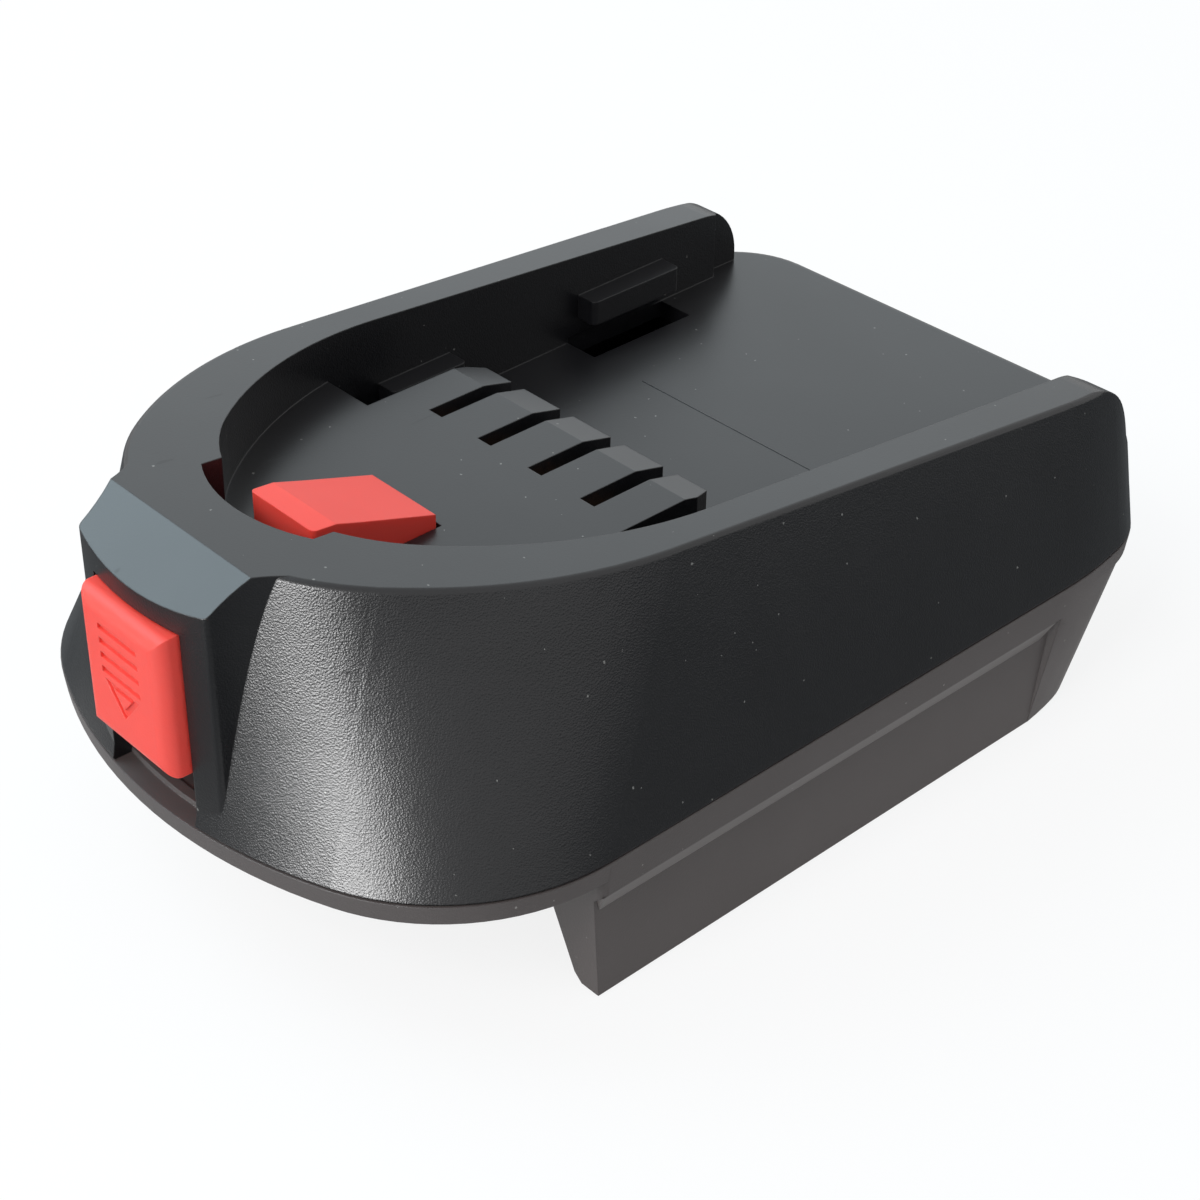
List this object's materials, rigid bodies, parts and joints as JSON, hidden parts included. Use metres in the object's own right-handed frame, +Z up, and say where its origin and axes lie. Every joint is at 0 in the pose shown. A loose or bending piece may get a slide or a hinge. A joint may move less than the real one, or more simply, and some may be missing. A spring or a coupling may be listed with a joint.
{
  "type": "cordless tool battery adapter",
  "caption": "Slide-on battery adapter for a cordless tool: black two-part shell with a horseshoe channel, terminal slots, battery skirts and a red sprung release latch.",
  "frame": {"origin": "centre of the bounding box in plan, on the plane of the skirts' bottom edges", "axes": "+Z up out of the tool channel, -Y towards the release button, +Y towards the mouth where the tool slides in, X across"},
  "size_m": [0.077, 0.122, 0.0478],
  "materials": {
    "upper_shell": "satin, fine spark texture on the flanks",
    "lower_shell": "fine matt texture",
    "latch_red": "satin",
    "spring_steel": "bright drawn wire",
    "screw_steel": "zinc plated",
    "contact_copper": "plated sheet",
    "blade_brass": "plated sheet",
    "carrier_plastic": "matt",
    "board_laminate": "solder mask",
    "resistor_body": "glazed",
    "wire_red": "insulation",
    "wire_black": "insulation",
    "wire_white": "insulation"
  },
  "bodies": {
    "housing": {"battery_blade_1": "blade_brass", "battery_blade_2": "blade_brass", "battery_blade_3": "blade_brass", "battery_blade_4": "blade_brass", "blade_block": "carrier_plastic", "blade_block_screws": "screw_steel", "carrier_screws": "screw_steel", "circuit_board": "board_laminate", "contact_carrier": "carrier_plastic", "housing_screws": "screw_steel", "id_resistor": "resistor_body", "latch_spring_left": "spring_steel", "latch_spring_right": "spring_steel", "lower_housing": "lower_shell", "sense_wire_battery_left": "wire_white", "sense_wire_battery_right": "wire_white", "sense_wire_tool_left": "wire_white", "sense_wire_tool_right": "wire_white", "tool_contact_1": "contact_copper", "tool_contact_2": "contact_copper", "tool_contact_3": "contact_copper", "tool_contact_4": "contact_copper", "upper_housing": "upper_shell", "wire_negative": "wire_black", "wire_positive": "wire_red"},
    "latch": {"release_latch": "latch_red"}
  },
  "joints": [
    {"name": "latch_press", "type": "slide", "parent": "housing", "child": "latch", "axis": [0, 0, -1], "range_m": [0, 0.0058], "stiffness_N_per_m": 600, "springref_m": -0.003, "deforming": ["latch_spring_left", "latch_spring_right"]}
  ]
}
